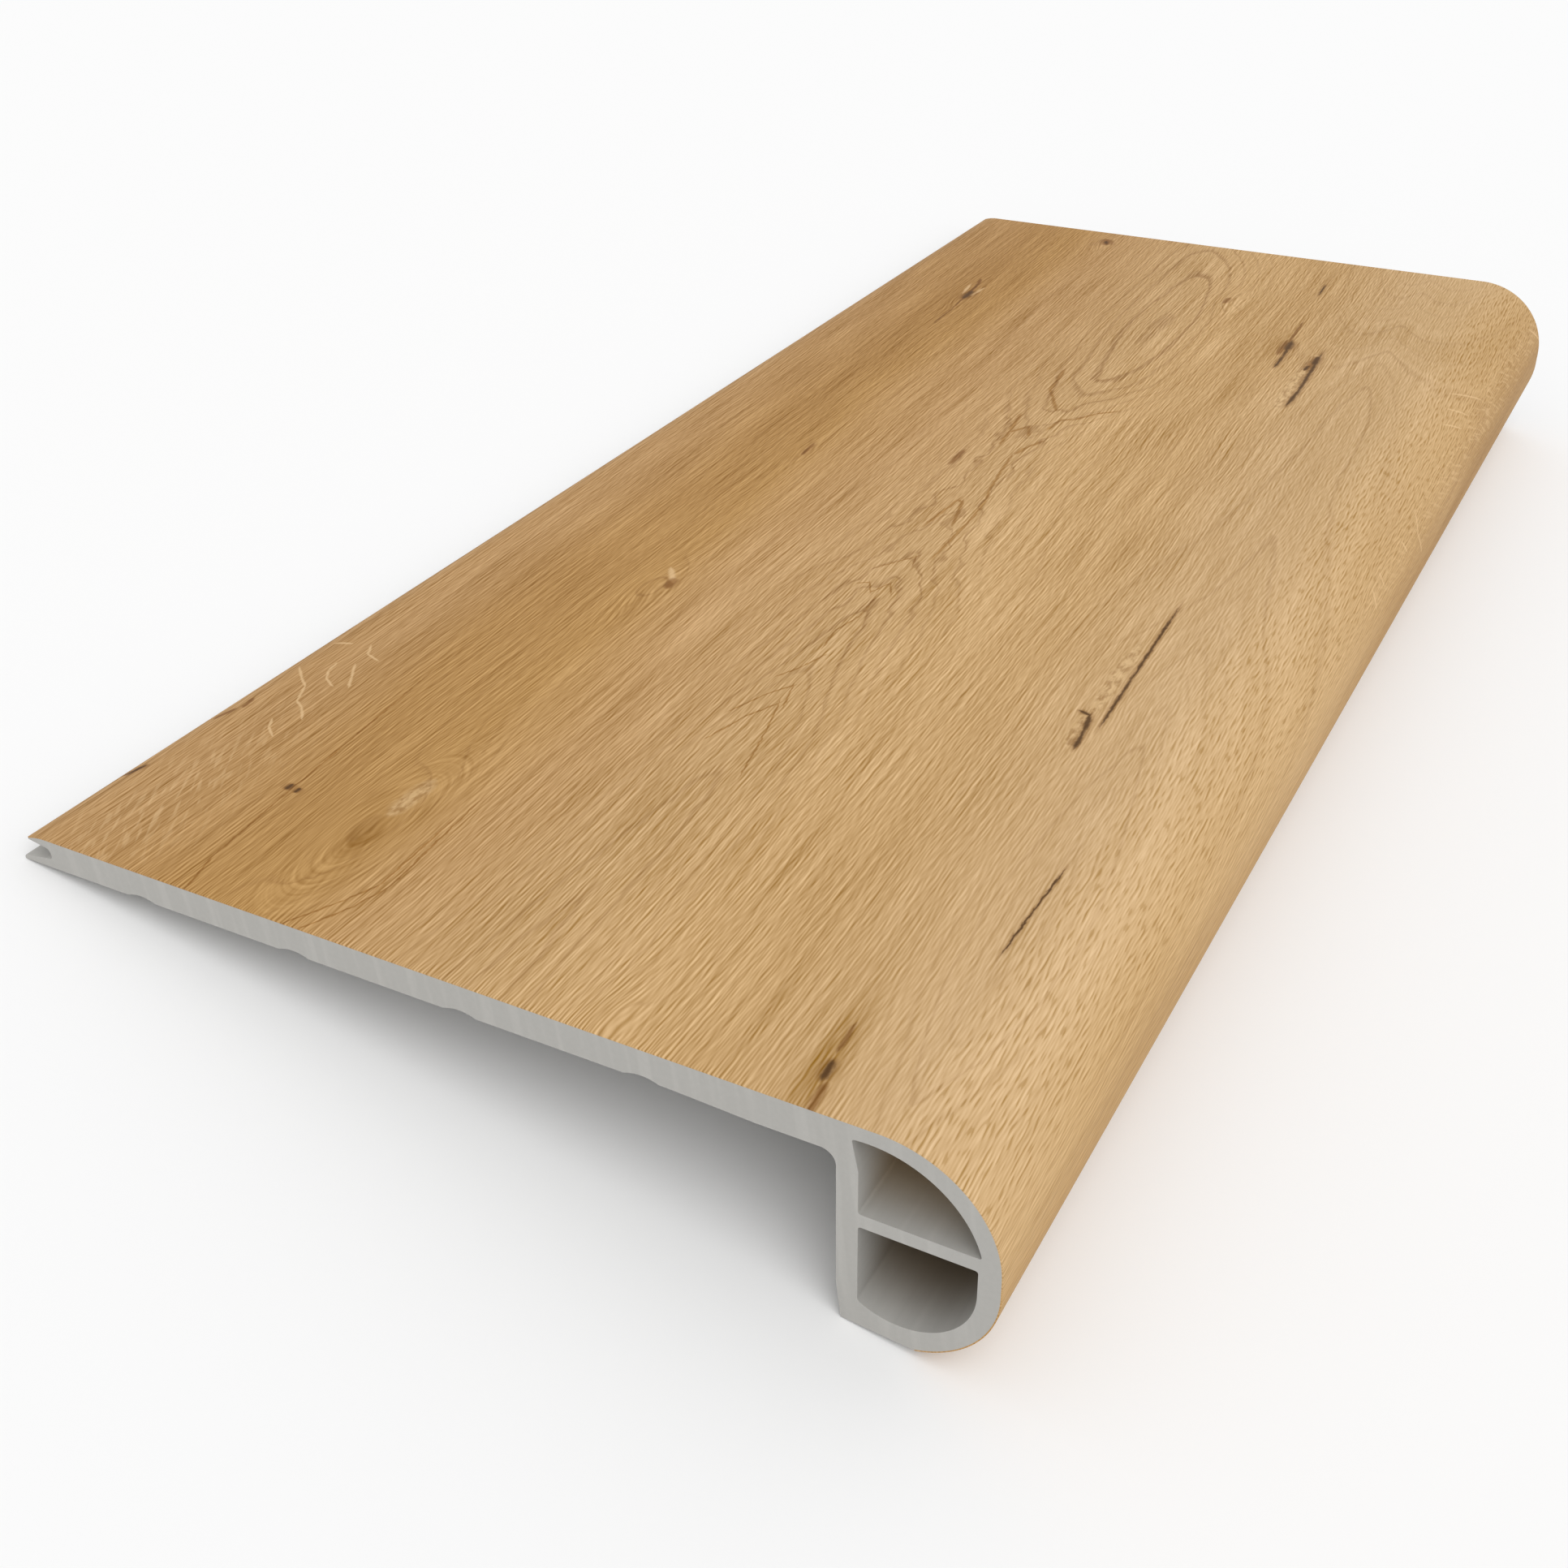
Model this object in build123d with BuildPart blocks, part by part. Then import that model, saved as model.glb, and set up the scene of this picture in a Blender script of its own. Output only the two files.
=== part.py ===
from build123d import *
from math import acos, atan2, cos, degrees, radians, sin, sqrt, tan
import os

# Flush stair nosing: one extruded length of grey rigid vinyl with a hollow rounded nose, and a
# printed oak film laminated over its face. It covers the front of a stair step, with its tread
# face flush with the floor planks that click into its rear edge.
#
# The section is drawn with s running from the upper rear edge to the nose and h upwards from the
# finished tread face. The piece lies face up, as it comes to rest on a level floor: on the foot
# of its rear lip and on the heel of its leg, with the nose towards -Y and its length along X.

# Overall sizes, in millimetres
length = 585.0  # along the edge of the stair
depth = 254.0  # upper rear edge to the front of the nose
plate_thickness = 8.0  # tread plate, film included
film_thickness = 0.3  # printed film with its clear wear layer

# Nose: a large curve down from the tread, a short flat front and a smaller curve under it
nose_top_radius = 27.4
nose_front_flat = 4.5
nose_toe_radius = 25.0
toe_stop_angle = 16.0  # degrees of the toe curve left out before its lowest point
sole_rise_angle = 4.8  # degrees that the underside of the nose rises towards the heel
nose_depth = 36.2  # rear face of the leg to the front of the nose
heel_setback = 1.1  # how far the heel stands in from the rear face of the leg
heel_taper = 10.0  # height of the leg over which that setback grows

# Chambers of the nose
nose_wall = 3.8  # wall above and in front of the upper chamber
upper_chamber_radius = 25.6
toe_wall = 5.2  # wall in front of the lower chamber
sole_wall = 5.4  # wall under the lower chamber
lower_chamber_radius = 16.8
leg_wall = 4.9
divider_drop = 23.3  # finished face to the upper side of the divider
divider_thickness = 3.5
corner_lean = 1.6  # how far the upper chamber reaches back over the leg
corner_lean_height = 12.0  # depth below the finished face at which that lean starts
chamber_fillet = 0.7

# Underside of the tread plate
root_pad_drop = 0.85  # extra thickness where the plate runs into the leg
root_pad_width = 18.0
root_pad_ramp = 20.0
root_fillet = 3.5
relief_width = 8.6
relief_depth = 0.9
relief_pitch = 46.0
relief_leg_gap = 44.8  # rear face of the leg to the nearest relief groove
relief_edge_gap = 20.0  # least distance from the upper rear edge to a relief groove

# Rear edge: an eased upper edge over the click groove and its longer lower lip
ease_run = 5.6
ease_drop = 0.9
upper_lip_edge = 0.3  # vinyl left under the film at the upper edge
upper_lip_flare = 1.15  # how much the upper lip thickens towards the back of the groove
groove_reach = 6.8
groove_upper_fillet = 1.6
groove_notch_fillet = 0.8
lower_lip_reach = 2.8  # how far the lower lip stands out past the upper edge
lower_lip_edge = 1.25
lower_lip_root = 2.6
lower_lip_bevel = 0.5

# Places in the section that follow from the sizes
top_centre = (depth - nose_top_radius, -nose_top_radius)
toe_centre = (depth - nose_toe_radius, -nose_top_radius - nose_front_flat)
leg_rear = depth - nose_depth
leg_front = leg_rear + leg_wall
ease_radius = (ease_run**2 + ease_drop**2) / (2 * ease_drop)


def rear_edge(inset):
    """Where the finished face, set back by inset, ends at the upper rear edge."""
    return (0, sqrt((ease_radius - inset) ** 2 - ease_run**2) - ease_radius)


def toe_end(inset):
    """Where the finished face, set back by inset, ends under the nose."""
    angle = radians(toe_stop_angle - 90)
    radius = nose_toe_radius - inset
    return (toe_centre[0] + radius * cos(angle), toe_centre[1] + radius * sin(angle))


def finished_face(inset):
    """Draw the line of the finished face, set back by inset: rear edge, tread, nose and toe."""
    ease_angle = degrees(acos(-ease_run / (ease_radius - inset)))
    CenterArc((ease_run, -ease_radius), ease_radius - inset, ease_angle, 90 - ease_angle)
    Line((ease_run, -inset), (top_centre[0], -inset))
    CenterArc(top_centre, nose_top_radius - inset, 90, -90)
    Line((depth - inset, top_centre[1]), (depth - inset, toe_centre[1]))
    CenterArc(toe_centre, nose_toe_radius - inset, 0, toe_stop_angle - 90)


# Corners of the leg, the underside and the click groove, and the middle of the lower chamber
sole_start = toe_end(0)
heel_place = leg_rear + heel_setback
heel = (heel_place, sole_start[1] + (sole_start[0] - heel_place) * tan(radians(sole_rise_angle)))
taper_top = (leg_rear, heel[1] + heel_taper)
root_corner = (leg_rear, -plate_thickness - root_pad_drop)
pad_edge = (leg_rear - root_pad_width, -plate_thickness - root_pad_drop)
ramp_edge = (pad_edge[0] - root_pad_ramp, -plate_thickness)
lip_foot = (-lower_lip_reach, -plate_thickness)
lip_end = (-lower_lip_reach, lower_lip_edge - lower_lip_bevel - plate_thickness)
lip_top = (lower_lip_bevel - lower_lip_reach, lower_lip_edge - plate_thickness)
groove_mouth = (0, rear_edge(film_thickness)[1] - upper_lip_edge)
groove_back = (groove_reach, groove_mouth[1] - upper_lip_flare)
groove_notch = (groove_reach, lower_lip_root - plate_thickness)
groove_height = groove_back[1] - groove_notch[1]
lower_chamber_centre = (
    depth - toe_wall - lower_chamber_radius,
    sole_start[1] + sole_wall + lower_chamber_radius,
)

# The two lines that touch the floor set the tilt, and the box of the tilted section the origin
tilt = atan2(lip_foot[1] - heel[1], heel[0] - lip_foot[0])
rear_limit = lip_end[1] * sin(tilt) - lip_end[0] * cos(tilt)
front_limit = toe_centre[1] * sin(tilt) - toe_centre[0] * cos(tilt) - nose_toe_radius
section_plane = Plane(
    origin=(0, -(rear_limit + front_limit) / 2, -lip_foot[0] * sin(tilt) - lip_foot[1] * cos(tilt)),
    x_dir=(0, -cos(tilt), sin(tilt)),
    z_dir=(-1, 0, 0),
)

# Relief grooves: shallow round coves, as many as fit between the leg and the rear edge
relief_radius = (relief_width**2 / 4 + relief_depth**2) / (2 * relief_depth)
relief_span = leg_rear - relief_leg_gap - relief_edge_gap
relief_count = int(relief_span // relief_pitch) + 1
relief_centres = [
    (leg_rear - relief_leg_gap - i * relief_pitch, relief_depth - relief_radius - plate_thickness)
    for i in range(relief_count)
]

# Grey vinyl profile
with BuildPart() as nosing_profile:
    with BuildSketch(section_plane):
        with BuildLine():
            finished_face(film_thickness)
            Polyline(toe_end(film_thickness), sole_start, heel, taper_top)
            FilletPolyline(taper_top, root_corner, pad_edge, radius=root_fillet)
            Polyline(pad_edge, ramp_edge, lip_foot, lip_end, lip_top)
            FilletPolyline(
                lip_top,
                groove_notch,
                groove_back,
                groove_mouth,
                radius=[
                    min(groove_notch_fillet, 0.3 * groove_height),
                    min(groove_upper_fillet, 0.6 * groove_height),
                ],
            )
            Line(groove_mouth, rear_edge(film_thickness))
        make_face()
        with Locations(*relief_centres):
            Circle(relief_radius, mode=Mode.SUBTRACT)
    extrude(amount=length / 2, both=True)

    # Upper chamber, under the large curve of the nose
    with BuildSketch(section_plane) as upper_chamber:
        with Locations((depth - nose_wall - upper_chamber_radius, -nose_wall - upper_chamber_radius)):
            Circle(upper_chamber_radius)
        with BuildLine():
            Polyline(
                (leg_front, -divider_drop),
                (leg_front, -corner_lean_height),
                (leg_front - corner_lean, -nose_wall),
                (depth, -nose_wall),
                (depth, -divider_drop),
                close=True,
            )
        make_face(mode=Mode.INTERSECT)
        fillet(upper_chamber.vertices(), radius=chamber_fillet)

    # Lower chamber, between the divider and the toe
    with BuildSketch(section_plane) as lower_chamber:
        with Locations(lower_chamber_centre):
            Circle(lower_chamber_radius)
            Rectangle(2 * lower_chamber_radius, nose_top_radius, align=(Align.CENTER, Align.MIN))
        with Locations((leg_front, -divider_drop - divider_thickness)):
            Rectangle(nose_depth, 2 * nose_toe_radius, align=(Align.MIN, Align.MAX), mode=Mode.INTERSECT)
        corners = lower_chamber.vertices().filter_by(
            lambda corner: abs(corner.Y - lower_chamber_centre[1]) > chamber_fillet
        )
        fillet(corners, radius=chamber_fillet)
    extrude(amount=length / 2, both=True, mode=Mode.SUBTRACT)

# Printed oak film over the tread face and round the nose
with BuildPart() as oak_film:
    with BuildSketch(section_plane):
        with BuildLine():
            finished_face(0)
            finished_face(film_thickness)
            Line(rear_edge(0), rear_edge(film_thickness))
            Line(toe_end(0), toe_end(film_thickness))
        make_face()
    extrude(amount=length / 2, both=True)

os.makedirs("parts", exist_ok=True)
nosing_profile.part.label = "nosing_profile"
export_step(nosing_profile.part, "parts/nosing_profile.step")
oak_film.part.label = "oak_film"
export_step(oak_film.part, "parts/oak_film.step")
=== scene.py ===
# %% [markdown]
# A flush stair nosing covers the front edge of a stair step. It is a length of grey rigid vinyl,
# extruded through a die, with a printed oak film pressed over its tread and round its nose.
# The CAD model is loaded first and gives the frame: nothing in it is moved, and the two pieces
# made below stand for its two solids.

from math import acos, asin, atan2, cos, degrees, hypot, pi, radians, sin, sqrt

import bmesh
import bpy
from mathutils import Matrix, Vector


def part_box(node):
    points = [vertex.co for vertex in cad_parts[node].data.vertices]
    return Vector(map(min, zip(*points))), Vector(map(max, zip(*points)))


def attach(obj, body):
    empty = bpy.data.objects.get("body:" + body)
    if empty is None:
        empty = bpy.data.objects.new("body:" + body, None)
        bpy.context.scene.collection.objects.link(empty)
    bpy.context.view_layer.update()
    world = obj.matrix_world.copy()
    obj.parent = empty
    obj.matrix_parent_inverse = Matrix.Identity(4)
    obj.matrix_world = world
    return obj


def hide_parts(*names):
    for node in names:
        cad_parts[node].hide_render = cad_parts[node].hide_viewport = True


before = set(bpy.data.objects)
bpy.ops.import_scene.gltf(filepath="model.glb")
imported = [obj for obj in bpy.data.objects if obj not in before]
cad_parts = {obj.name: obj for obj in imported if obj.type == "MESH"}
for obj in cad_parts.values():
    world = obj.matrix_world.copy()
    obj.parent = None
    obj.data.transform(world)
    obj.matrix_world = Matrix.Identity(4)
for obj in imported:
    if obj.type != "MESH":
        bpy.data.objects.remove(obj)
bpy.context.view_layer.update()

# %% [markdown]
# Both pieces are drawn as a section first, the way the die is drawn. In the section s runs from
# the upper rear edge to the nose and h runs up from the finished face, in millimetres. The piece
# lies face up on the floor, on the foot of its rear lip and on the heel of its leg, so the section
# is tilted by the slope between those two lines.

# %% Section sizes
mm = 0.001
length = 585.0
depth = 254.0
plate = 8.0
film = 0.3
top_radius = 27.4
front_flat = 4.5
toe_radius = 25.0
toe_turn = 74.0
ease_run = 5.6
ease_radius = 17.872
top_centre = (depth - top_radius, -top_radius)
toe_centre = (depth - toe_radius, -top_radius - front_flat)
toe_end = (
    toe_centre[0] + toe_radius * cos(radians(toe_turn)),
    toe_centre[1] - toe_radius * sin(radians(toe_turn)),
)
heel = (218.9, -54.505)
lip_reach = 2.8
lip_foot = (-lip_reach, -plate)
lip_end = (-lip_reach, -7.25)
tilt = atan2(lip_foot[1] - heel[1], heel[0] - lip_foot[0])
rear_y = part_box("nosing_profile")[1][1] / mm + lip_end[0] * cos(tilt) - lip_end[1] * sin(tilt)
rear_z = -lip_foot[0] * sin(tilt) - lip_foot[1] * cos(tilt)
lie = (
    Matrix.Translation((0, rear_y * mm, rear_z * mm))
    @ Matrix.Rotation(-tilt, 4, "X")
    @ Matrix.Rotation(pi, 4, "Z")
)
print("tilt %.3f degrees, upper rear edge at y %.2f z %.2f mm" % (degrees(tilt), rear_y, rear_z))

# %% [markdown]
# Three small tools draw a section with mesh operators: one starts a line, one draws it straight on
# and one swings it round a centre, as a compass does. A fourth draws the finished face with them,
# because both pieces share that line. The section lies in the plane of s and h, and the length of
# the piece comes later from one extrusion.


# %% Drawing tools
def start_line(bm, place):
    """The first point of a section line."""
    found = bmesh.ops.create_vert(bm, co=(0, place[0] * mm, place[1] * mm))
    return found["vert"][0]


def line_to(bm, end, place):
    """A straight line from the last point to a place; returns the new last point."""
    grown = bmesh.ops.extrude_vert_indiv(bm, verts=[end])
    point = grown["verts"][0]
    point.co = (0, place[0] * mm, place[1] * mm)
    return point


def swing(bm, end, centre, angle, steps):
    """An arc from the last point round a centre; the angle is in degrees, anticlockwise."""
    turned = bmesh.ops.spin(
        bm,
        geom=[end],
        cent=(0, centre[0] * mm, centre[1] * mm),
        axis=(1, 0, 0),
        angle=radians(angle),
        steps=steps,
        use_merge=False,
    )
    return [item for item in turned["geom_last"] if isinstance(item, bmesh.types.BMVert)][0]


def finished_face(bm, inset):
    """The line of the finished face, set back by inset: eased rear edge, tread, nose and toe."""
    ease_angle = degrees(asin(ease_run / (ease_radius - inset)))
    rear = sqrt((ease_radius - inset) ** 2 - ease_run**2) - ease_radius
    start = start_line(bm, (0, rear))
    end = swing(bm, start, (ease_run, -ease_radius), -ease_angle, 6)
    end = line_to(bm, end, (top_centre[0], -inset))
    end = swing(bm, end, top_centre, -90, 36)
    end = line_to(bm, end, (depth - inset, toe_centre[1]))
    end = swing(bm, end, toe_centre, -toe_turn, 30)
    return start, end


# %% [markdown]
# A section becomes a piece when it is pushed along its length, as the vinyl is pushed through the
# die. The smooth shading stops at every edge that turns by more than thirty degrees, so the saw
# cuts at both ends stay crisp.

# %% Making a piece
weld_distance = 0.002
crisp_angle = 30.0


def make_piece(name, bm, body="root"):
    """Close the mesh, lay it in the frame and shade it; returns the object."""
    bmesh.ops.remove_doubles(bm, verts=bm.verts, dist=weld_distance * mm)
    bmesh.ops.recalc_face_normals(bm, faces=bm.faces)
    for edge in bm.edges:
        edge.smooth = edge.calc_face_angle(0) < radians(crisp_angle)
    for face in bm.faces:
        face.smooth = True
    bmesh.ops.transform(bm, matrix=lie, verts=bm.verts)
    mesh = bpy.data.meshes.new(name)
    bm.to_mesh(mesh)
    bm.free()
    piece = bpy.data.objects.new(name, mesh)
    bpy.context.scene.collection.objects.link(piece)
    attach(piece, body)
    triangles = sum(len(face.vertices) - 2 for face in mesh.polygons)
    print(name, "has", triangles, "triangles")
    return piece


def push_along(bm, geometry):
    """Push lines or faces from one end of the piece to the other."""
    faces = [item for item in geometry if isinstance(item, bmesh.types.BMFace)]
    if faces:
        grown = bmesh.ops.extrude_face_region(bm, geom=faces)
    else:
        grown = bmesh.ops.extrude_edge_only(bm, edges=geometry)
    moved = [item for item in grown["geom"] if isinstance(item, bmesh.types.BMVert)]
    bmesh.ops.translate(bm, verts=moved, vec=(length * mm, 0, 0))
    bmesh.ops.translate(bm, verts=bm.verts, vec=(-length / 2 * mm, 0, 0))


# %% [markdown]
# The oak film is printed flat and wrapped over the profile afterwards. Its UV map keeps that flat
# sheet: the first number runs along the length from the near end and the second runs round the
# section from the rear edge, both in metres, so the print bends over the nose without a break.


# %% Oak face
def round_section(s, h):
    """How far round the finished face a place in the section lies, in millimetres."""
    ease_arc = ease_radius * asin(ease_run / ease_radius)
    top_arc = top_radius * pi / 2
    if s < ease_run:
        return ease_arc - ease_radius * asin((ease_run - s) / ease_radius)
    if s <= top_centre[0]:
        return ease_arc + s - ease_run
    run = ease_arc + top_centre[0] - ease_run
    if h > top_centre[1]:
        return run + top_radius * atan2(s - top_centre[0], h - top_centre[1])
    if h > toe_centre[1]:
        return run + top_arc + top_centre[1] - h
    return run + top_arc + front_flat + toe_radius * atan2(toe_centre[1] - h, s - toe_centre[0])


bm = bmesh.new()
finished_face(bm, 0)
push_along(bm, bm.edges[:])
decor = bm.loops.layers.uv.new("decor")
for face in bm.faces:
    for loop in face.loops:
        x, s, h = loop.vert.co / mm
        loop[decor].uv = ((length / 2 - x) * mm, round_section(s, h) * mm)
bmesh.ops.recalc_face_normals(bm, faces=bm.faces)
if sum(face.normal.z * face.calc_area() for face in bm.faces) < 0:
    bmesh.ops.reverse_faces(bm, faces=bm.faces)
bmesh.ops.solidify(bm, geom=bm.faces[:], thickness=film * mm)
oak_face = make_piece("oak_face", bm)
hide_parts("oak_film")
film_width = round_section(*toe_end)
print("printed film is %.0f by %.1f mm when flat" % (length, film_width))

# %% [markdown]
# The vinyl profile carries the film. Its underside has four shallow coves that let the glue key,
# its rear edge has the click groove that the last floor plank locks into, and its nose is hollow
# with a divider, which saves vinyl and keeps the curve stiff. The outline is drawn once round,
# starting under the film.


# %% Outline of the vinyl profile
def round_corner(bm, corner, radius):
    """Round a drawn corner with the radius that the die has there."""
    bmesh.ops.bevel(
        bm,
        geom=[corner],
        offset=radius * mm,
        offset_type="OFFSET",
        segments=6,
        profile=0.5,
        affect="VERTICES",
        material=-1,
        clamp_overlap=True,
    )


leg_rear = 217.8
leg_taper = -44.5
pad_face = -8.85
pad_width = 18.0
pad_ramp = 20.0
groove_reach = 6.8
lip_top = (-2.3, -6.75)
groove_notch = (groove_reach, -5.4)
groove_roof = (groove_reach, -2.66)
groove_mouth = (0, -1.51)
cove_width = 8.6
cove_depth = 0.9
cove_radius = (cove_width**2 / 4 + cove_depth**2) / (2 * cove_depth)
cove_turn = 2 * degrees(asin(cove_width / 2 / cove_radius))
cove_places = [173.0, 127.0, 81.0, 35.0]

bm = bmesh.new()
first, end = finished_face(bm, film)
end = line_to(bm, end, toe_end)
end = line_to(bm, end, heel)
end = line_to(bm, end, (leg_rear, leg_taper))
root_corner = end = line_to(bm, end, (leg_rear, pad_face))
end = line_to(bm, end, (leg_rear - pad_width, pad_face))
end = line_to(bm, end, (leg_rear - pad_width - pad_ramp, -plate))
for place in cove_places:
    end = line_to(bm, end, (place + cove_width / 2, -plate))
    end = swing(bm, end, (place, cove_depth - cove_radius - plate), cove_turn, 10)
end = line_to(bm, end, lip_foot)
end = line_to(bm, end, lip_end)
end = line_to(bm, end, lip_top)
notch_corner = end = line_to(bm, end, groove_notch)
groove_corner = end = line_to(bm, end, groove_roof)
end = line_to(bm, end, groove_mouth)
bm.edges.new((end, first))
round_corner(bm, root_corner, 3.5)
round_corner(bm, notch_corner, 0.8)
round_corner(bm, groove_corner, 1.4)
print("outline drawn with", len(bm.edges), "edges")

# %% [markdown]
# The two chambers of the nose are drawn inside the outline: a quarter round under the tread and a
# rounded box below the divider. Filling the outline around them gives the face that the saw
# leaves at each end.

# %% Chambers and profile
leg_front = 222.7
chamber_corner = 0.7
upper_centre = (224.6, -29.4)
upper_radius = 25.6
upper_floor = -23.3
lean_start = -12.0
lean_top = (221.14, -4.03)
lean_angle = degrees(atan2(lean_top[1] - upper_centre[1], lean_top[0] - upper_centre[0]))
front_angle = degrees(asin((upper_floor - upper_centre[1]) / upper_radius))
upper_first = start_line(bm, (leg_front, upper_floor))
lean_corner = line_to(bm, upper_first, (leg_front, lean_start))
top_corner = line_to(bm, lean_corner, lean_top)
front_corner = swing(bm, top_corner, upper_centre, front_angle - lean_angle, 30)
bm.edges.new((front_corner, upper_first))

lower_centre = (232.0, -33.73)
lower_radius = 16.8
lower_roof = -26.8
lower_turn = degrees(acos((leg_front - lower_centre[0]) / lower_radius))
lower_first = start_line(bm, (leg_front, lower_roof))
roof_corner = line_to(bm, lower_first, (lower_centre[0] + lower_radius, lower_roof))
end = line_to(bm, roof_corner, (lower_centre[0] + lower_radius, lower_centre[1]))
foot_corner = swing(bm, end, lower_centre, -lower_turn, 36)
bm.edges.new((foot_corner, lower_first))
for corner in (upper_first, top_corner, front_corner, lower_first, roof_corner, foot_corner):
    round_corner(bm, corner, chamber_corner)

filled = bmesh.ops.triangle_fill(bm, use_beauty=True, use_dissolve=False, edges=bm.edges[:])
push_along(bm, [item for item in filled["geom"] if isinstance(item, bmesh.types.BMFace)])
vinyl_profile = make_piece("vinyl_profile", bm)
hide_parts("nosing_profile")

# %% [markdown]
# The photo is taken with a normal lens from above the near end. The two directions of the tread
# meet the picture plane in two vanishing points, and together with the two rear corners of the
# tread they give the lens and the place of the camera. All places here are in picture points of a
# picture 1932 points wide, measured from its middle, x to the right and y down.

# %% Camera
picture = 1932.0
focal = 2323.0
length_vanishing = Vector((1481.8, -1491.6, focal))
depth_vanishing = Vector((-5033.3, -1381.9, focal))
near_corner = Vector((-932.9, 61.0, focal))
far_corner = Vector((248.5, -698.6, focal))
along = length_vanishing.normalized()
forth = -(depth_vanishing - along * depth_vanishing.dot(along)).normalized()
over = forth.cross(along)
near_place = -near_corner / near_corner.dot(over)
far_place = -far_corner / far_corner.dot(over)
near_place *= length * mm / (far_place - near_place).length
section_turn = lie.to_3x3()
world_along = Vector((1, 0, 0))
world_forth = section_turn @ Vector((0, 1, 0))
world_over = section_turn @ Vector((0, 0, 1))


def to_world(sight):
    """A direction in the picture (right, down, ahead) as a direction in the frame."""
    return world_along * sight.dot(along) + world_forth * sight.dot(forth) + world_over * sight.dot(over)


sensor = 36.0
corner_place = lie @ Vector((length / 2 * mm, 0, 0))
camera_data = bpy.data.cameras.new("camera")
camera_data.sensor_width = sensor
camera_data.lens = sensor * focal / picture
camera = bpy.data.objects.new("camera", camera_data)
bpy.context.scene.collection.objects.link(camera)
right = to_world(Vector((1, 0, 0)))
down = to_world(Vector((0, 1, 0)))
ahead = to_world(Vector((0, 0, 1)))
turn = Matrix((right, -down, -ahead)).transposed().to_4x4()
camera.matrix_world = Matrix.Translation(corner_place - to_world(near_place)) @ turn
bpy.context.scene.camera = camera
print("camera at", [round(value, 3) for value in camera.matrix_world.translation])

# %% [markdown]
# The light is that of a white photo studio: an even glow from all round and one large soft lamp
# high on the left. Together they bring a white floor to just white, so that every colour renders
# about as it is written, and the floor keeps a soft shadow of the piece.

# %% Studio
scene = bpy.context.scene
scene.view_settings.view_transform = "Standard"
world = bpy.data.worlds.new("studio")
scene.world = world
world.use_nodes = True
glow = world.node_tree.nodes["Background"]
glow.inputs["Color"].default_value = (1.0, 1.0, 1.0, 1.0)
glow.inputs["Strength"].default_value = 0.72
lamp_data = bpy.data.lights.new("soft_lamp", "SUN")
lamp_data.energy = 1.15
lamp_data.angle = radians(50)
lamp = bpy.data.objects.new("soft_lamp", lamp_data)
lamp.rotation_euler = (radians(20), radians(-24), 0)
scene.collection.objects.link(lamp)

floor_reach = 12.0
floor_drop = 0.0002
bm = bmesh.new()
bmesh.ops.create_grid(bm, x_segments=1, y_segments=1, size=floor_reach)
bmesh.ops.translate(bm, verts=bm.verts, vec=(0, 0, -floor_drop))
floor_mesh = bpy.data.meshes.new("floor")
bm.to_mesh(floor_mesh)
bm.free()
floor = bpy.data.objects.new("floor", floor_mesh)
scene.collection.objects.link(floor)
paper = bpy.data.materials.new("paper")
paper.use_nodes = True
paper_shader = paper.node_tree.nodes["Principled BSDF"]
paper_shader.inputs["Base Color"].default_value = (0.94, 0.94, 0.94, 1.0)
paper_shader.inputs["Roughness"].default_value = 1.0
paper_shader.inputs["Specular IOR Level"].default_value = 0.0
floor.data.materials.append(paper)
print("floor is %.0f m wide" % (2 * floor_reach))

# %% [markdown]
# The finishes are wired from nodes. A few short tools keep that readable: they set or link a
# socket, calculate with one number or with three, add up, fade between two values, lay noise over
# two coordinates, lay a colour over another, mix a colour and draw a curve through given points.


# %% Wiring tools
def wire(tree, value, socket):
    """Give a socket a plain value, or link another node's output to it."""
    if isinstance(value, bpy.types.NodeSocket):
        tree.links.new(value, socket)
    else:
        socket.default_value = value


def calc(tree, operation, *values):
    """One calculation on one to three values."""
    node = tree.nodes.new("ShaderNodeMath")
    node.operation = operation
    for socket, value in zip(node.inputs, values):
        wire(tree, value, socket)
    return node.outputs[0]


def vector_calc(tree, operation, *values):
    """One calculation on three numbers at once, such as the red, green and blue of a colour."""
    node = tree.nodes.new("ShaderNodeVectorMath")
    node.operation = operation
    for socket, value in zip(node.inputs, values):
        wire(tree, value, socket)
    return node.outputs[0]


def total(tree, *values):
    """The sum of several values."""
    result = values[0]
    for value in values[1:]:
        result = calc(tree, "ADD", result, value)
    return result


def fade(tree, value, start, end, low=0.0, high=1.0):
    """A soft step from low, where the value is start, to high, where it is end."""
    node = tree.nodes.new("ShaderNodeMapRange")
    node.interpolation_type = "SMOOTHSTEP"
    for socket, setting in zip(node.inputs, (value, start, end, low, high)):
        wire(tree, setting, socket)
    return node.outputs[0]


def noise(tree, across_u, across_v, detail=0.0, roughness=0.5):
    """Noise over two coordinates, counted in grains of the noise; returns the node's outputs."""
    place = tree.nodes.new("ShaderNodeCombineXYZ")
    wire(tree, across_u, place.inputs[0])
    wire(tree, across_v, place.inputs[1])
    node = tree.nodes.new("ShaderNodeTexNoise")
    node.noise_dimensions = "2D"
    tree.links.new(place.outputs[0], node.inputs["Vector"])
    node.inputs["Scale"].default_value = 1.0
    node.inputs["Detail"].default_value = detail
    node.inputs["Roughness"].default_value = roughness
    return node.outputs


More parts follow.
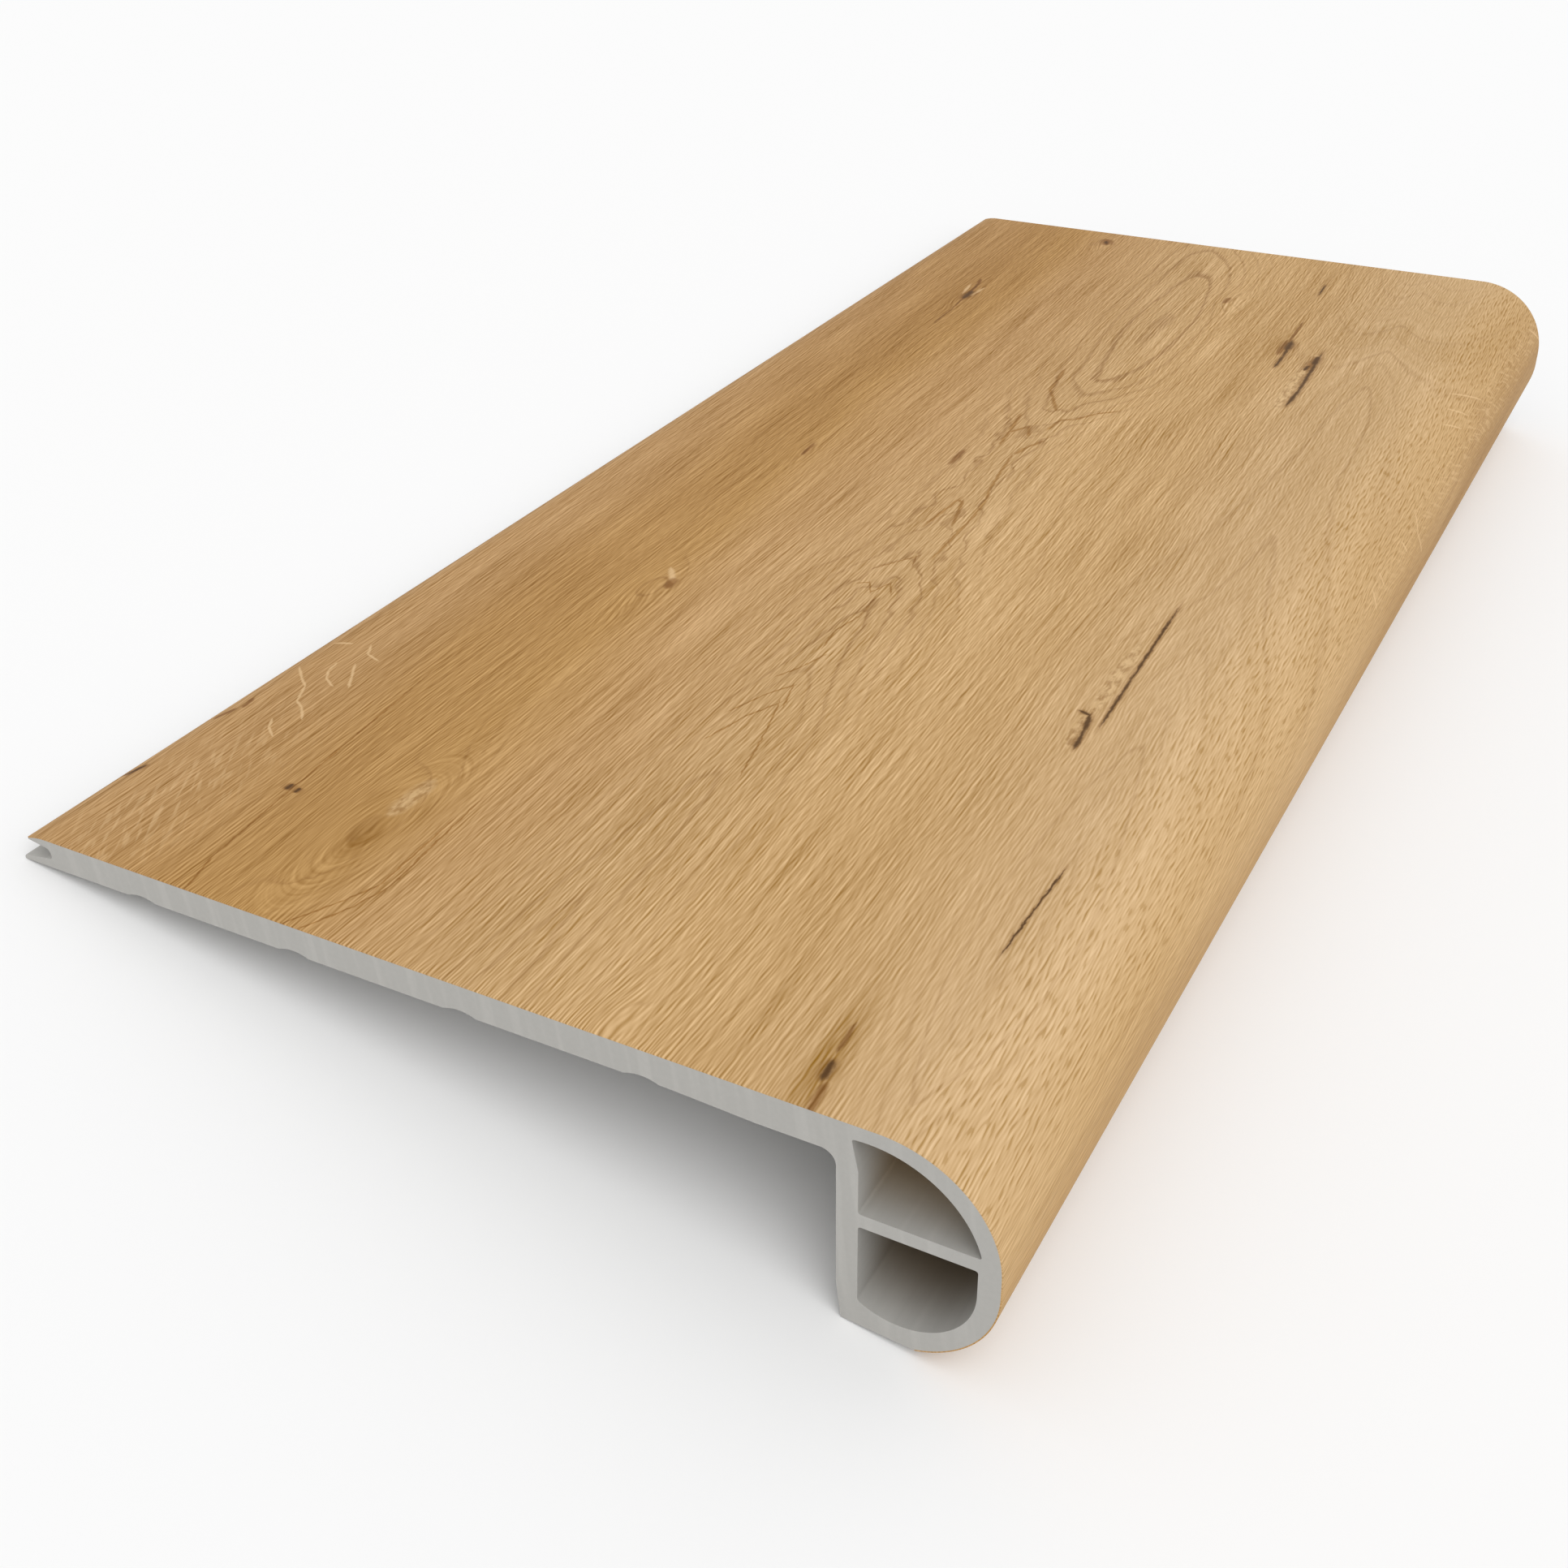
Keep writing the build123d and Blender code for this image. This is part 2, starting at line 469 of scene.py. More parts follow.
def lay(tree, factor, under, over_it, blend="MIX"):
    """One colour over another, by a factor."""
    node = tree.nodes.new("ShaderNodeMix")
    node.data_type = "RGBA"
    node.blend_type = blend
    wire(tree, factor, node.inputs[0])
    wire(tree, under, node.inputs[6])
    wire(tree, over_it, node.inputs[7])
    return node.outputs[2]


def tone(red, green, blue):
    """A colour as a paint chart gives it, 0 to 255, in the values that the shader takes."""
    return tuple((value / 255) ** 2.2 for value in (red, green, blue)) + (1.0,)


def curve(tree, value, points, reach):
    """A curve through given points over the length of the piece; points are (place, height) in mm."""
    node = tree.nodes.new("ShaderNodeFloatCurve")
    line = node.mapping.curves[0]
    while len(line.points) < len(points):
        line.points.new(0.5, 0.5)
    for point, (place, height) in zip(line.points, points):
        point.location = (place / length, height / reach)
    node.mapping.update()
    wire(tree, calc(tree, "DIVIDE", value, length), node.inputs["Value"])
    return calc(tree, "MULTIPLY", node.outputs[0], reach)


# %% [markdown]
# Marks that come back in several places on the print are node groups, so that each one is
# designed once and then set down with its own place and size. Every mark is measured with two
# rulers, one along it and one across it, that read 0 in its middle and 1 at its edge.


# %% Node groups
def new_group(name, inputs, outputs):
    """An empty node group; inputs are (title, kind) pairs and outputs are numbers."""
    group = bpy.data.node_groups.new(name, "ShaderNodeTree")
    for title, kind in inputs:
        group.interface.new_socket(title, in_out="INPUT", socket_type="NodeSocket" + kind)
    for title in outputs:
        group.interface.new_socket(title, in_out="OUTPUT", socket_type="NodeSocketFloat")
    given = group.nodes.new("NodeGroupInput")
    result = group.nodes.new("NodeGroupOutput")
    return group, given.outputs, result.inputs


def set_down(tree, group, **settings):
    """Use a node group in a material; returns its outputs."""
    node = tree.nodes.new("ShaderNodeGroup")
    node.node_tree = group
    for title, value in settings.items():
        wire(tree, value, node.inputs[title.capitalize()])
    return node.outputs


def rulers(place_u, place_v, half_length, half_width, angle=0.0):
    """The two rulers of a mark; each is multiplied with (u, v, 1)."""
    turn_u = cos(radians(angle))
    turn_v = sin(radians(angle))
    along_shift = place_u * turn_u + place_v * turn_v
    across_shift = place_v * turn_u - place_u * turn_v
    run = (turn_u / half_length, turn_v / half_length, -along_shift / half_length)
    cross = (-turn_v / half_width, turn_u / half_width, -across_shift / half_width)
    return run, cross


def measure(tree, place, ruler):
    """Read a ruler at a place."""
    node = tree.nodes.new("ShaderNodeVectorMath")
    node.operation = "DOT_PRODUCT"
    wire(tree, place, node.inputs[0])
    wire(tree, ruler, node.inputs[1])
    return node.outputs["Value"]


ruler_inputs = [("Place", "Vector"), ("Run", "Vector"), ("Cross", "Vector")]

# %% [markdown]
# A knot pushes the grain aside and makes the growth rings swell. Both die away with the distance
# from its eye.

# %% Knot swirl
swirl, given, result = new_group("knot_swirl", ruler_inputs, ["Push", "Swell"])
run = measure(swirl, given["Place"], given["Run"])
cross = measure(swirl, given["Place"], given["Cross"])
distance = calc(swirl, "MULTIPLY_ADD", run, run, calc(swirl, "MULTIPLY", cross, cross))
swell = calc(swirl, "EXPONENT", calc(swirl, "MULTIPLY", distance, -1.0))
wire(swirl, swell, result["Swell"])
wire(swirl, calc(swirl, "MULTIPLY", cross, swell), result["Push"])

# %% [markdown]
# A crack, a smear or a pale fleck is a streak with a blunt point at both ends. The group gives how
# far a place lies from the streak: 0 on its middle line, 1 at its edge and more outside.

# %% Streak mark
streak_mark, given, result = new_group("streak_mark", ruler_inputs, ["Reach"])
run = measure(streak_mark, given["Place"], given["Run"])
cross = measure(streak_mark, given["Place"], given["Cross"])
squared = calc(streak_mark, "MULTIPLY", run, run)
reach = calc(streak_mark, "MULTIPLY_ADD", squared, squared, calc(streak_mark, "ABSOLUTE", cross))
wire(streak_mark, reach, result["Reach"])

# %% [markdown]
# The oak print starts with its coordinates, in millimetres on the flat film. The grain climbs a
# little to the far end, wanders with a slow wave and bends round each knot. The fine hairs of the
# wood are combed along the same lines, but wander less, so that they stay equally fine everywhere.

# %% Oak coordinates
oak = bpy.data.materials.new("oak_finish")
oak.use_nodes = True
tree = oak.node_tree
sheet_map = tree.nodes.new("ShaderNodeUVMap")
sheet_map.uv_map = "decor"
flat_place = tree.nodes.new("ShaderNodeSeparateXYZ")
tree.links.new(sheet_map.outputs["UV"], flat_place.inputs[0])
u = calc(tree, "MULTIPLY", flat_place.outputs[0], 1000.0)
v = calc(tree, "MULTIPLY", flat_place.outputs[1], 1000.0)
joined = tree.nodes.new("ShaderNodeCombineXYZ")
wire(tree, u, joined.inputs[0])
wire(tree, v, joined.inputs[1])
joined.inputs[2].default_value = 1.0
place = joined.outputs[0]
slow = noise(tree, calc(tree, "DIVIDE", u, 150.0), calc(tree, "DIVIDE", v, 45.0), 1.0)
sway = noise(tree, calc(tree, "DIVIDE", u, 80.0), calc(tree, "DIVIDE", v, 70.0), 1.0)
climb = 0.035
grain_wander = 9.0
hair_wander = 3.0
bend = calc(tree, "MULTIPLY_ADD", u, climb, -climb * length / 2 - grain_wander / 2)

# %% [markdown]
# Each knot of the print is set down with its place along and round the film, half its length, half
# its width, how far it pushes the grain aside and how many rings it adds, all but the last in
# millimetres.

# %% Knots
knots = [
    (40.0, 73.0, 34.0, 10.5, 3.5, 5.0),
    (182.0, 66.0, 18.0, 6.5, 3.5, 3.5),
    (475.0, 39.0, 24.0, 5.5, 3.5, 1.5),
    (571.0, 65.0, 12.0, 6.0, 3.5, 2.0),
    (515.0, 141.0, 15.0, 6.5, 3.0, 1.2),
    (295.0, 57.0, 13.0, 4.0, 2.0, 1.0),
    (4.0, 164.0, 14.0, 6.0, 3.0, 2.0),
]
swells = []
for place_u, place_v, half_length, half_width, push_aside, extra_rings in knots:
    run, cross = rulers(place_u, place_v, half_length, half_width)
    knot = set_down(tree, swirl, place=place, run=run, cross=cross)
    bend = calc(tree, "MULTIPLY_ADD", knot["Push"], -push_aside, bend)
    swells.append(calc(tree, "MULTIPLY", knot["Swell"], extra_rings))
knot_rings = total(tree, *swells)
grain = total(tree, v, bend, calc(tree, "MULTIPLY", slow["Fac"], grain_wander))
combed = total(tree, v, bend, calc(tree, "MULTIPLY", sway["Fac"], hair_wander))
print(len(knots), "knots bend the grain")

# %% [markdown]
# Oak sawn from the outside of a log shows its growth rings as long tongues and ovals round the
# heart of the plank. Two such lines of tongues run along this print. The first is drawn with two
# curves over the length: where its middle line lies, and how deep the saw cuts into the rings.

# %% Rings of the heart
heart_line = [
    (0, 124), (140, 125), (215, 123), (280, 120.5), (343, 120), (372, 123), (409, 128.5), (470, 128),
    (540, 126.5), (585, 120),
]
heart_depth = [
    (0, 0), (60, 3), (115, 7), (165, 15), (205, 19), (235, 26), (310, 32), (343, 29.5), (367, 22),
    (394, 14), (409, 9), (470, 5.4), (537, 9), (585, 15.5),
]
heart_off = calc(tree, "SUBTRACT", grain, curve(tree, u, heart_line, 200.0))
heart_round = fade(tree, u, 330.0, 420.0, 36.0, 225.0)
heart_arch = calc(tree, "SQRT", calc(tree, "MULTIPLY_ADD", heart_off, heart_off, heart_round))
heart_rings = calc(
    tree, "MULTIPLY_ADD", curve(tree, u, heart_depth, 50.0), fade(tree, heart_arch, 75.0, 0.0), heart_arch
)

# %% [markdown]
# The second line of tongues lies just behind the nose and runs straight, so one curve is enough.
# About halfway between the two lines the print goes over from one to the other.

# %% Rings behind the nose
edge_place = 219.5
edge_depth = [
    (0, 12), (20, 8), (50, 2), (80, 0), (110, 2), (148, 8), (177, 13), (200, 18), (255, 30), (325, 36),
    (440, 42), (489, 52), (520, 60), (550, 68), (585, 76),
]
edge_off = calc(tree, "SUBTRACT", grain, edge_place)
edge_arch = calc(tree, "SQRT", calc(tree, "MULTIPLY_ADD", edge_off, edge_off, 8.0))
edge_rings = calc(
    tree, "MULTIPLY_ADD", curve(tree, u, edge_depth, 80.0), fade(tree, edge_arch, 60.0, 0.0, 0.0, -1.0),
    calc(tree, "SUBTRACT", 112.0, edge_arch),
)
between = fade(tree, grain, 158.0, 192.0)
ring_gap = calc(tree, "SUBTRACT", edge_rings, heart_rings)
ring_depth = calc(tree, "MULTIPLY_ADD", ring_gap, between, heart_rings)

# %% [markdown]
# Depth becomes a count of rings. Near the heart, in the middle of the length, the saw has gone
# through the rings almost flat, and there their lines run in zigzags.

# %% Count of the rings
ring_width = 4.0
zigzag = noise(tree, calc(tree, "DIVIDE", u, 12.0), calc(tree, "DIVIDE", v, 6.0), 1.0)
heart_near = fade(tree, heart_off, 34.0, 6.0)
heart_near = calc(tree, "MULTIPLY", heart_near, fade(tree, heart_off, -34.0, -6.0))
zigzag_zone = calc(tree, "MULTIPLY", fade(tree, u, 170.0, 220.0), fade(tree, u, 410.0, 340.0))
wobble = calc(tree, "MULTIPLY_ADD", calc(tree, "MULTIPLY", heart_near, zigzag_zone), 0.9, 0.25)
rings = total(
    tree,
    calc(tree, "DIVIDE", ring_depth, ring_width),
    knot_rings,
    calc(tree, "MULTIPLY", calc(tree, "SUBTRACT", zigzag["Fac"], 0.5), wobble),
)

# %% [markdown]
# Fibres run along the grain at four sizes, from broad soft bands to short ticks. For the ticks, one
# strip of noise is taken away from another that lies half a row beside it. Each dark tick then has
# a paler one beside it, and they don't gather into blotches.

# %% Fibres
wide = noise(tree, calc(tree, "DIVIDE", u, 260.0), calc(tree, "MULTIPLY", rings, 0.5), 2.0, 0.6)
streak = noise(tree, calc(tree, "DIVIDE", u, 130.0), calc(tree, "MULTIPLY", rings, 2.6), 3.0, 0.65)
row_width = 0.62
hair_row = calc(tree, "DIVIDE", calc(tree, "MULTIPLY_ADD", knot_rings, 0.8, combed), row_width)
fibre = noise(tree, calc(tree, "DIVIDE", u, 48.0), hair_row)
tick_place = calc(tree, "DIVIDE", u, 5.0)
upper_tick = noise(tree, tick_place, hair_row)
lower_tick = noise(tree, tick_place, calc(tree, "ADD", hair_row, 0.5))
lower_share = 0.7
tick_mean = 0.5 - 0.5 * lower_share
tick = calc(tree, "MULTIPLY_ADD", lower_tick["Fac"], -lower_share, upper_tick["Fac"])

# %% [markdown]
# Each growth ring starts with a porous brown line and clears towards the next one. The fibres break
# that line up, and every ring gets a strength of its own.

# %% Ring lines
rough_rings = total(
    tree, rings, calc(tree, "MULTIPLY", streak["Fac"], 0.3), calc(tree, "MULTIPLY", fibre["Fac"], 0.15)
)
ring_number = calc(tree, "FLOOR", rough_rings)
ring_phase = calc(tree, "SUBTRACT", rough_rings, ring_number)
chance = tree.nodes.new("ShaderNodeTexWhiteNoise")
chance.noise_dimensions = "1D"
wire(tree, ring_number, chance.inputs["W"])
ring_line = calc(tree, "MULTIPLY", fade(tree, ring_phase, 0.0, 0.1), fade(tree, ring_phase, 0.3, 0.08))
edge_near = fade(tree, edge_arch, 22.0, 4.0)
ring_show = total(
    tree,
    calc(tree, "MULTIPLY", heart_near, fade(tree, u, 120.0, 215.0, 0.15, 0.38)),
    calc(tree, "MULTIPLY", edge_near, 0.12),
    calc(tree, "MULTIPLY", knot_rings, 0.06),
    0.1,
)
ring_strength = calc(tree, "MULTIPLY", ring_show, fade(tree, chance.outputs["Value"], 0.0, 1.0, 0.3, 1.3))
ring_dark = calc(tree, "MULTIPLY", ring_line, ring_strength)

# %% [markdown]
# The print is not one colour. It is a deeper gold along the rear edge, paler over the middle and
# a greyer beige towards the nose, and it warms again where it goes down over the nose.

# %% Tones
bands = tree.nodes.new("ShaderNodeValToRGB")
band_tones = [
    (8, tone(185, 145, 97)),
    (36, tone(180, 138, 84)),
    (58, tone(186, 144, 88)),
    (85, tone(193, 153, 104)),
    (120, tone(201, 164, 116)),
    (150, tone(206, 168, 118)),
    (178, tone(200, 162, 112)),
    (215, tone(208, 173, 128)),
    (238, tone(211, 176, 130)),
    (258, tone(204, 167, 117)),
    (276, tone(187, 147, 93)),
]
while len(bands.color_ramp.elements) < len(band_tones):
    bands.color_ramp.elements.new(0.5)
for element, (band_place, colour) in zip(bands.color_ramp.elements, band_tones):
    element.position = band_place / film_width
    element.color = colour
band_wander = 16.0
band_start = calc(tree, "ADD", grain, -band_wander / 2)
shifted = calc(tree, "MULTIPLY_ADD", slow["Fac"], band_wander, band_start)
wire(tree, calc(tree, "DIVIDE", shifted, film_width), bands.inputs["Fac"])
print(len(band_tones), "bands of colour")

# %% [markdown]
# Soft patches are a little lighter or darker than the wood round them, as round the large cracks.
# Each has its place, half its length, half its width and how much it lightens or, below zero,
# darkens the wood.

# %% Soft patches
patch_angle = -2.0
soft_patches = [
    (405.0, 38.0, 120.0, 9.0, -0.14),
    (332.0, 90.0, 26.0, 8.0, 0.05),
    (310.0, 217.0, 70.0, 6.0, -0.07),
    (70.0, 240.0, 110.0, 22.0, 0.06),
    (450.0, 272.0, 170.0, 20.0, -0.09),
    (470.0, 126.0, 60.0, 14.0, 0.07),
    (37.0, 73.5, 11.0, 4.0, -0.27),
    (13.0, 208.8, 22.0, 4.0, -0.38),
    (464.0, 173.4, 18.0, 2.8, -0.28),
]
patches = []
for place_u, place_v, half_length, half_width, amount in soft_patches:
    run, cross = rulers(place_u, place_v, half_length, half_width, patch_angle)
    patch = set_down(tree, swirl, place=place, run=run, cross=cross)
    patches.append(calc(tree, "MULTIPLY", patch["Swell"], amount))
print(len(patches), "soft patches")

# %% [markdown]
# The fibres and ticks join into hairs. Round the largest knot they follow the rings of its almond
# shape instead, and on the nose the darkest ticks stand out as short brown dashes. All of it
# together says how light the wood is, and a last fade adds painted shade that darkens the wood
# towards the far end. Where it is lighter, it is also less yellow.

# %% Light and dark
fibre_depth = fade(tree, v, 195.0, 225.0, 1.05, 0.55)
hairs = calc(tree, "MULTIPLY_ADD", calc(tree, "ADD", fibre["Fac"], -0.5), fibre_depth, tick)
first_knot_rings = knots[0][-1]
almond = calc(tree, "DIVIDE", swells[0], first_knot_rings)
almond_rings = noise(tree, calc(tree, "DIVIDE", u, 14.0), calc(tree, "MULTIPLY", almond, 22.0), 1.0)
almond_contrast = 2.05
almond_hairs = calc(
    tree, "MULTIPLY_ADD", almond_rings["Fac"], almond_contrast, tick_mean - almond_contrast / 2
)
almond_off = calc(tree, "SUBTRACT", almond_hairs, hairs)
hairs = calc(tree, "MULTIPLY_ADD", almond_off, fade(tree, almond, 0.1, 0.4, 0.0, 0.55), hairs)
dashes = calc(
    tree,
    "MULTIPLY",
    fade(tree, upper_tick["Fac"], 0.36, 0.26, 0.0, -0.17),
    calc(tree, "MULTIPLY", fade(tree, v, 224.0, 236.0), fade(tree, v, 262.0, 254.0)),
)
hair_depth = fade(tree, v, 180.0, 215.0, 0.7, 0.54)
lightness_and_painted_shade = total(
    tree,
    dashes,
    calc(tree, "MULTIPLY", wide["Fac"], 0.28),
    calc(tree, "MULTIPLY", streak["Fac"], 0.13),
    calc(tree, "MULTIPLY", calc(tree, "ADD", hairs, -tick_mean), hair_depth),
    # Painted shade: the wood turns darker towards the far end, where the light falls off.
    fade(tree, u, 280.0, 560.0, 0.725, 0.635),
    *patches,
)
tint = vector_calc(tree, "MULTIPLY_ADD", lightness_and_painted_shade, (0.73, 0.92, 1.35), (0.27, 0.08, -0.35))
colour = vector_calc(tree, "MULTIPLY", bands.outputs["Color"], tint)
colour = lay(tree, ring_dark, colour, tone(178, 152, 108), "MULTIPLY")

# %% [markdown]
# Cracks, smears and flecks are set down one by one, where the photo has them. Wood tears from fibre
# to fibre, so their edges are ragged: a fine noise shifts the place at which they are measured.

# %% Streak marks
ragged = noise(tree, calc(tree, "DIVIDE", u, 3.4), calc(tree, "DIVIDE", v, 1.3), 2.0, 0.6)
tear_depth = 1.0
shifted_v = calc(tree, "MULTIPLY_ADD", ragged["Fac"], tear_depth, calc(tree, "ADD", v, -tear_depth / 2))
torn_joined = tree.nodes.new("ShaderNodeCombineXYZ")
wire(tree, u, torn_joined.inputs[0])
wire(tree, shifted_v, torn_joined.inputs[1])
torn_joined.inputs[2].default_value = 1.0
torn_place = torn_joined.outputs[0]


def nearest(marks):
    """Set down streaks, each (u, v, half length, half width, angle); the reach of the nearest."""
    print(len(marks), "streaks set down")
    joint = None
    for place_u, place_v, half_length, half_width, angle in marks:
        run, cross = rulers(place_u, place_v, half_length, half_width, angle)
        mark = set_down(tree, streak_mark, place=torn_place, run=run, cross=cross)
        joint = mark["Reach"] if joint is None else calc(tree, "MINIMUM", joint, mark["Reach"])
    return joint


def strokes(half_width, *points):
    """Streaks that follow a line drawn from point to point, each point (u, v)."""
    marks = []
    for (start_u, start_v), (end_u, end_v) in zip(points, points[1:]):
        middle = ((start_u + end_u) / 2, (start_v + end_v) / 2)
        half_length = hypot(end_u - start_u, end_v - start_v) / 2
        angle = degrees(atan2(end_v - start_v, end_u - start_u))
        marks.append((*middle, half_length * 1.35, half_width, angle))
    return marks


# %% [markdown]
# Round the heart of the plank a few ring lines stand out from the rest. They are drawn one by one:
# a long one that climbs to the oval, the tip of a tongue, and the corners where tongue and oval
# meet. Finer ones follow the small tongues at the near end and the grain round the largest knot.

# %% Ring lines drawn one by one
ring_strokes = nearest(
    strokes(0.7, (238.0, 131.0), (268.0, 130.2), (284.0, 128.6))
    + strokes(0.7, (284.0, 128.6), (291.0, 126.3), (320.0, 122.0))
    + strokes(0.8, (258.0, 119.0), (279.5, 120.4), (278.5, 122.4), (262.0, 126.5))
    + strokes(0.9, (330.0, 114.2), (342.0, 112.6), (357.0, 110.4))
    + strokes(0.9, (341.0, 113.0), (349.0, 117.2), (341.0, 120.0))
    + strokes(0.9, (324.0, 122.4), (331.0, 123.8), (338.0, 126.4))
    + strokes(0.7, (349.0, 124.0), (359.5, 124.8), (362.0, 129.2), (370.5, 134.0), (376.0, 140.0))
    + strokes(0.9, (368.0, 119.8), (379.0, 114.2), (386.0, 110.6), (406.0, 108.0))
    + strokes(0.35, (113.0, 123.5), (127.0, 127.0), (137.0, 131.5), (122.0, 135.6), (102.0, 139.8))
    + strokes(0.35, (128.0, 122.0), (140.0, 126.3), (147.0, 130.4), (136.0, 133.4))
    + strokes(0.35, (150.0, 124.2), (158.0, 127.8), (166.0, 130.0))
    + strokes(0.35, (170.0, 127.6), (180.0, 126.0), (192.0, 128.4), (205.5, 127.0))
    + strokes(0.35, (210.5, 118.2), (212.8, 121.2), (207.0, 124.4), (215.0, 127.2), (209.0, 130.0))
    + strokes(0.35, (223.0, 118.8), (235.0, 126.2), (229.5, 127.6))
    + strokes(0.35, (0.0, 79.5), (13.0, 86.0), (22.0, 89.6), (50.0, 88.2))
    + strokes(0.35, (0.0, 84.0), (12.0, 89.4), (22.0, 92.0), (60.0, 89.0))
    + strokes(0.35, (0.0, 50.5), (14.0, 46.8), (42.0, 44.0), (100.0, 38.8))
)
ring_stroke = fade(tree, ring_strokes, 1.4, 0.2, 0.0, 0.9)
colour = lay(tree, ring_stroke, colour, tone(208, 188, 145), "MULTIPLY")

# %% [markdown]
# Where the print shows a split, the fibres beside it are torn into pale lumps with darker edges.
# One such patch lies in the largest knot.

# %% Torn fringes
lumps = noise(tree, calc(tree, "DIVIDE", u, 4.2), calc(tree, "DIVIDE", v, 1.5), 2.0, 0.6)
fringe = nearest(
    [
        (430.0, 188.6, 30.0, 2.5, -2.3),
        (190.0, 206.6, 25.0, 2.5, -2.2),
        (160.0, 207.0, 11.0, 2.4, -4.0),
        (55.0, 73.0, 10.0, 3.0, 0.0),
    ]
)
torn_tone = lay(tree, fade(tree, lumps["Fac"], 0.32, 0.64), tone(160, 122, 78), tone(220, 185, 136))
colour = lay(tree, fade(tree, fringe, 1.3, 0.3, 0.0, 0.62), colour, torn_tone)

# %% [markdown]
# The wood rays of oak show as pale flecks across the grain. The large ones along the rear edge are
# drawn one by one, and so are some on the nose and the pale spots beside two knots and a crack.
# Round them lies a hatch of fine ones, which lean one way on the rear half of the print and the
# other way on the front half.

# %% Flecks
flecks = nearest(
    strokes(0.55, (73.0, 23.0), (77.5, 19.0), (79.6, 15.6), (87.0, 12.0), (90.0, 8.4), (94.5, 3.5))
    + strokes(0.5, (90.5, 18.5), (93.0, 14.4), (97.0, 12.0), (101.0, 11.2))
    + strokes(0.6, (92.0, 23.0), (97.0, 20.0), (102.5, 16.6))
    + strokes(0.5, (107.5, 20.5), (109.2, 15.8), (113.5, 13.4))
    + strokes(0.5, (62.5, 22.0), (65.5, 18.0), (69.0, 16.2))
    + strokes(0.6, (110.5, 3.0), (112.2, 7.6))
    + [
        (480.0, 41.0, 7.0, 0.9, 5.0),
        (482.0, 35.3, 8.0, 0.7, -8.0),
        (190.5, 66.0, 6.0, 1.3, -35.0),
        (464.2, 188.8, 1.8, 0.9, 75.0),
        (301.5, 258.4, 3.6, 0.8, 105.0),
        (313.0, 256.4, 3.0, 0.6, 88.0),
        (342.5, 257.6, 3.0, 0.8, 65.0),
        (436.0, 248.6, 8.0, 0.5, 30.0),
        (449.0, 247.4, 9.0, 0.5, 35.0),
        (466.0, 247.0, 14.0, 0.5, 30.0),
        (578.0, 259.0, 9.0, 0.6, 32.0),
    ]
    + strokes(0.6, (363.5, 254.0), (359.0, 260.0), (362.0, 267.0))
)
from_middle = calc(tree, "ABSOLUTE", calc(tree, "SUBTRACT", v, film_width / 2))
leaning_u = calc(tree, "MULTIPLY_ADD", u, 0.89, calc(tree, "MULTIPLY", from_middle, 0.45))
leaning_v = calc(tree, "MULTIPLY_ADD", u, -0.45, calc(tree, "MULTIPLY", from_middle, 0.89))
hatch = noise(tree, calc(tree, "DIVIDE", leaning_u, 9.0), calc(tree, "DIVIDE", leaning_v, 1.3), 1.0)
hatch_places = [(22.0, 20.0, 45.0, 13.0), (480.0, 258.0, 190.0, 7.0)]
hatch_zones = []
for place_u, place_v, half_length, half_width in hatch_places:
    run, cross = rulers(place_u, place_v, half_length, half_width)
    hatch_zones.append(set_down(tree, swirl, place=place, run=run, cross=cross)["Swell"])
hatch_line = fade(tree, hatch["Fac"], 0.5, 0.72, 0.0, 0.42)
hatch_show = calc(tree, "MULTIPLY", hatch_line, total(tree, *hatch_zones))
fleck_show = calc(tree, "MAXIMUM", fade(tree, flecks, 1.2, 0.2, 0.0, 0.7), hatch_show)
colour = lay(tree, fleck_show, colour, tone(224, 188, 140))

# %% [markdown]
# Smears and cracks come last, because they lie over everything else. A smear only darkens the
# wood. A crack is a thin dark brown line with a little stain beside it.

# %% Smears and cracks
smears = nearest(
    strokes(0.5, (437.0, 41.0), (455.0, 40.4), (470.0, 39.0))
    + strokes(0.9, (480.0, 38.4), (488.0, 37.4), (496.0, 35.6))
    + [
        (312.5, 105.6, 8.0, 1.4, -2.0),
        (468.0, 174.2, 10.0, 1.6, -3.0),
        (455.0, 188.9, 8.5, 1.9, -1.0),
        (487.0, 174.0, 15.0, 0.7, -3.0),
        (22.5, 209.0, 5.5, 0.7, -4.0),
        (3.0, 212.0, 6.0, 1.2, -5.0),
        (296.0, 57.0, 6.0, 1.0, -5.0),
        (514.0, 138.0, 4.5, 1.4, 0.0),
        (185.5, 68.6, 4.0, 1.8, -10.0),
        (66.0, 2.4, 4.0, 0.9, 20.0),
        (73.0, 4.4, 3.0, 0.8, -10.0),
        (571.0, 65.0, 5.0, 3.2, -20.0),
    ]
)
cracks = nearest(
    strokes(0.8, (446.0, 177.4), (458.0, 177.0), (476.0, 175.4))
    + strokes(1.0, (409.0, 192.2), (424.0, 192.2), (463.0, 189.8))
    + strokes(0.9, (151.0, 209.4), (160.0, 208.6), (168.0, 207.2))
    + strokes(0.6, (166.0, 211.4), (190.0, 210.4), (232.0, 208.6))
    + strokes(0.4, (64.0, 226.2), (80.0, 226.4), (97.0, 226.8))
    + [
        (470.5, 175.9, 6.0, 1.9, -3.0),
        (459.0, 189.5, 5.5, 1.7, -2.0),
        (449.5, 188.4, 3.2, 0.9, 4.0),
        (168.5, 205.6, 2.2, 0.8, -70.0),
        (11.8, 210.1, 3.6, 1.1, -5.0),
        (544.5, 169.4, 8.0, 0.5, -3.0),
        (34.0, 1.8, 3.6, 0.8, 20.0),
        (45.2, 42.6, 1.6, 1.2, 0.0),
        (44.8, 45.5, 1.3, 0.8, 0.0),
        (475.0, 38.9, 6.5, 1.7, -3.0),
        (570.5, 65.0, 2.4, 1.2, -20.0),
    ]
)
stain = fade(tree, cracks, 2.6, 0.5, 0.0, 0.5)
